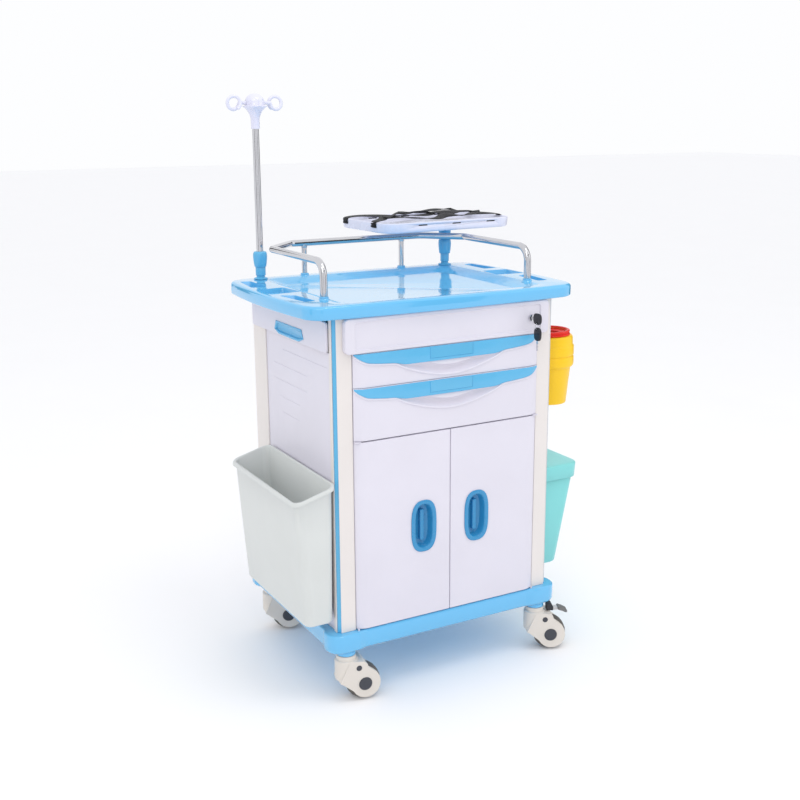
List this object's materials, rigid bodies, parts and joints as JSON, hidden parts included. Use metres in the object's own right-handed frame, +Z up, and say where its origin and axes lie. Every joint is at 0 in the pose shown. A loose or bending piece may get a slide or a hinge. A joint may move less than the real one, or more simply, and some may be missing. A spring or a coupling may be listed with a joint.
{
  "type": "emergency trolley",
  "caption": "Hospital crash cart: cabinet with drawers and cupboard doors, railed worktop, IV pole, swivelling monitor platform, side bins and sharps container, on swivel castors.",
  "frame": {"origin": "middle of the overall box on the floor", "axes": "+Z up, the drawers and doors face -Y, +X to the right of someone facing them"},
  "size_m": [0.8863, 0.728, 1.46],
  "materials": {
    "cream_column": "satin moulded ABS",
    "lavender_panel": "satin moulded ABS",
    "blue_trim": "gloss moulded ABS",
    "chrome_tube": "polished",
    "runner_steel": "zinc plated sheet",
    "white_plastic": "smooth",
    "painted_hook": "white coated rod",
    "strap_webbing": "woven nylon webbing",
    "key_black": "moulded key head",
    "castor_cream": "satin moulded nylon",
    "tyre_grey": "matt rubber",
    "pedal_grey": "moulded nylon",
    "bin_grey": "satin polypropylene",
    "bin_teal": "smooth polypropylene",
    "sharps_yellow": "smooth polypropylene",
    "sharps_red": "smooth polypropylene"
  },
  "bodies": {
    "frame": {"base_chassis": "blue_trim", "column_front_left": "cream_column", "column_front_right": "cream_column", "column_back_left": "cream_column", "column_back_right": "cream_column", "column_strip_left": "blue_trim", "column_strip_right": "blue_trim", "side_panel_left": "lavender_panel", "side_panel_right": "lavender_panel", "back_panel": "lavender_panel", "worktop_tray": "blue_trim", "guard_rail": "chrome_tube", "iv_socket": "blue_trim", "platform_socket": "blue_trim", "drawer_deck": "lavender_panel", "cupboard_shelf": "white_plastic", "runner_panel_left": "runner_steel", "runner_panel_right": "runner_steel"},
    "iv_knob": {"iv_knob": "blue_trim"},
    "iv_pole": {"iv_pole": "chrome_tube"},
    "iv_head": {"iv_head": "white_plastic", "iv_hooks": "painted_hook"},
    "platform_knob": {"platform_knob": "blue_trim"},
    "platform_post": {"platform_post": "blue_trim"},
    "platform": {"platform_tray": "white_plastic", "platform_strap_a": "strap_webbing", "platform_strap_b": "strap_webbing"},
    "side_shelf": {"side_shelf": "lavender_panel", "side_shelf_grip": "blue_trim"},
    "drawer_1": {"drawer_1_front": "lavender_panel", "drawer_1_box": "white_plastic"},
    "lock": {"lock_barrel": "chrome_tube", "lock_key": "key_black"},
    "key_ring": {"key_ring": "chrome_tube"},
    "drawer_2": {"drawer_2_front": "lavender_panel", "drawer_2_strip": "blue_trim", "drawer_2_box": "white_plastic"},
    "drawer_3": {"drawer_3_front": "lavender_panel", "drawer_3_strip": "blue_trim", "drawer_3_box": "white_plastic"},
    "door_left": {"door_left": "lavender_panel", "door_handle_left": "blue_trim"},
    "door_right": {"door_right": "lavender_panel", "door_handle_right": "blue_trim"},
    "waste_bin": {"waste_bin": "bin_grey"},
    "lidded_bin": {"lidded_bin": "bin_teal"},
    "lid": {"lidded_bin_lid": "bin_teal"},
    "sharps_container": {"sharps_container": "sharps_yellow"},
    "sharps_cap": {"sharps_cap": "sharps_red"},
    "castor_front_left": {"castor_front_left_housing": "castor_cream"},
    "wheel_front_left": {"castor_front_left_wheel": "tyre_grey"},
    "castor_front_right": {"castor_front_right_housing": "castor_cream"},
    "wheel_front_right": {"castor_front_right_wheel": "tyre_grey"},
    "pedal_front_right": {"castor_front_right_pedal": "pedal_grey"},
    "castor_back_left": {"castor_back_left_housing": "castor_cream"},
    "wheel_back_left": {"castor_back_left_wheel": "tyre_grey"},
    "pedal_back_left": {"castor_back_left_pedal": "pedal_grey"},
    "castor_back_right": {"castor_back_right_housing": "castor_cream"},
    "wheel_back_right": {"castor_back_right_wheel": "tyre_grey"}
  },
  "joints": [
    {"name": "iv_knob_turn", "type": "hinge", "parent": "frame", "child": "iv_knob", "pos_m": [-0.30665, 0.16546, 1.046], "axis": [0, 0, 1], "range_deg": [0, 180]},
    {"name": "iv_pole_height", "type": "slide", "parent": "frame", "child": "iv_pole", "axis": [0, 0, 1], "range_m": [0, 0.3]},
    {"name": "iv_head_turn", "type": "hinge", "parent": "iv_pole", "child": "iv_head", "pos_m": [-0.30665, 0.16546, 1.38], "axis": [0, 0, 1], "continuous": true},
    {"name": "platform_knob_turn", "type": "hinge", "parent": "frame", "child": "platform_knob", "pos_m": [0.25635, 0.16546, 1.046], "axis": [0, 0, 1], "range_deg": [0, 180]},
    {"name": "platform_height", "type": "slide", "parent": "frame", "child": "platform_post", "axis": [0, 0, 1], "range_m": [0, 0.15]},
    {"name": "platform_swivel", "type": "hinge", "parent": "platform_post", "child": "platform", "pos_m": [0.25635, 0.16546, 1.095], "axis": [0, 0, 1], "continuous": true},
    {"name": "side_shelf_slide", "type": "slide", "parent": "frame", "child": "side_shelf", "axis": [-1, 0, 0], "range_m": [0, 0.38]},
    {"name": "drawer_1_slide", "type": "slide", "parent": "frame", "child": "drawer_1", "axis": [0, -1, 0], "range_m": [0, 0.36]},
    {"name": "lock_turn", "type": "hinge", "parent": "drawer_1", "child": "lock", "pos_m": [0.21205, -0.31554, 0.9142], "axis": [0, 1, 0], "range_deg": [0, 90]},
    {"name": "key_ring_swing", "type": "hinge", "parent": "lock", "child": "key_ring", "pos_m": [0.21205, -0.35104, 0.905], "axis": [1, 0, 0], "range_deg": [-60, 20]},
    {"name": "drawer_2_slide", "type": "slide", "parent": "frame", "child": "drawer_2", "axis": [0, -1, 0], "range_m": [0, 0.36]},
    {"name": "drawer_3_slide", "type": "slide", "parent": "frame", "child": "drawer_3", "axis": [0, -1, 0], "range_m": [0, 0.36]},
    {"name": "door_left_hinge", "type": "hinge", "parent": "frame", "child": "door_left", "pos_m": [-0.27765, -0.31554, 0.4235], "axis": [0, 0, 1], "range_deg": [-105, 0]},
    {"name": "door_right_hinge", "type": "hinge", "parent": "frame", "child": "door_right", "pos_m": [0.23635, -0.31554, 0.4235], "axis": [0, 0, 1], "range_deg": [0, 105]},
    {"name": "castor_front_left_swivel", "type": "hinge", "parent": "frame", "child": "castor_front_left", "pos_m": [-0.30465, -0.29654, 0.1204], "axis": [0, 0, 1], "continuous": true},
    {"name": "wheel_front_left_roll", "type": "hinge", "parent": "castor_front_left", "child": "wheel_front_left", "pos_m": [-0.26504, -0.30211, 0.044], "axis": [0.1392, 0.9903, 0], "continuous": true},
    {"name": "castor_front_right_swivel", "type": "hinge", "parent": "frame", "child": "castor_front_right", "pos_m": [0.26335, -0.29654, 0.1204], "axis": [0, 0, 1], "continuous": true},
    {"name": "wheel_front_right_roll", "type": "hinge", "parent": "castor_front_right", "child": "wheel_front_right", "pos_m": [0.29989, -0.31281, 0.044], "axis": [0.4067, 0.9135, 0], "continuous": true},
    {"name": "pedal_front_right_press", "type": "hinge", "parent": "castor_front_right", "child": "pedal_front_right", "pos_m": [0.2935, -0.30996, 0.11], "axis": [0.4067, 0.9135, 0], "range_deg": [0, 10]},
    {"name": "castor_back_left_swivel", "type": "hinge", "parent": "frame", "child": "castor_back_left", "pos_m": [-0.30465, 0.16546, 0.1204], "axis": [0, 0, 1], "continuous": true},
    {"name": "wheel_back_left_roll", "type": "hinge", "parent": "castor_back_left", "child": "wheel_back_left", "pos_m": [-0.26661, 0.1531, 0.044], "axis": [0.309, 0.9511, 0], "continuous": true},
    {"name": "pedal_back_left_press", "type": "hinge", "parent": "castor_back_left", "child": "pedal_back_left", "pos_m": [-0.27326, 0.15526, 0.11], "axis": [0.309, 0.9511, 0], "range_deg": [0, 10]},
    {"name": "castor_back_right_swivel", "type": "hinge", "parent": "frame", "child": "castor_back_right", "pos_m": [0.26335, 0.16546, 0.1204], "axis": [0, 0, 1], "continuous": true},
    {"name": "wheel_back_right_roll", "type": "hinge", "parent": "castor_back_right", "child": "wheel_back_right", "pos_m": [0.30274, 0.15851, 0.044], "axis": [0.1736, 0.9848, 0], "continuous": true},
    {"name": "waste_bin_lift", "type": "slide", "parent": "frame", "child": "waste_bin", "axis": [0, 0, 1], "range_m": [0, 0.15]},
    {"name": "lidded_bin_lift", "type": "slide", "parent": "frame", "child": "lidded_bin", "axis": [0, 0, 1], "range_m": [0, 0.02]},
    {"name": "lid_hinge", "type": "hinge", "parent": "lidded_bin", "child": "lid", "pos_m": [0.29635, -0.12054, 0.485], "axis": [0, -1, 0], "range_deg": [0, 88]},
    {"name": "sharps_container_lift", "type": "slide", "parent": "frame", "child": "sharps_container", "axis": [0, 0, 1], "range_m": [0, 0.09]},
    {"name": "sharps_cap_turn", "type": "hinge", "parent": "sharps_container", "child": "sharps_cap", "pos_m": [0.36535, -0.19254, 0.8363], "axis": [0, 0, 1], "range_deg": [0, 90]}
  ]
}
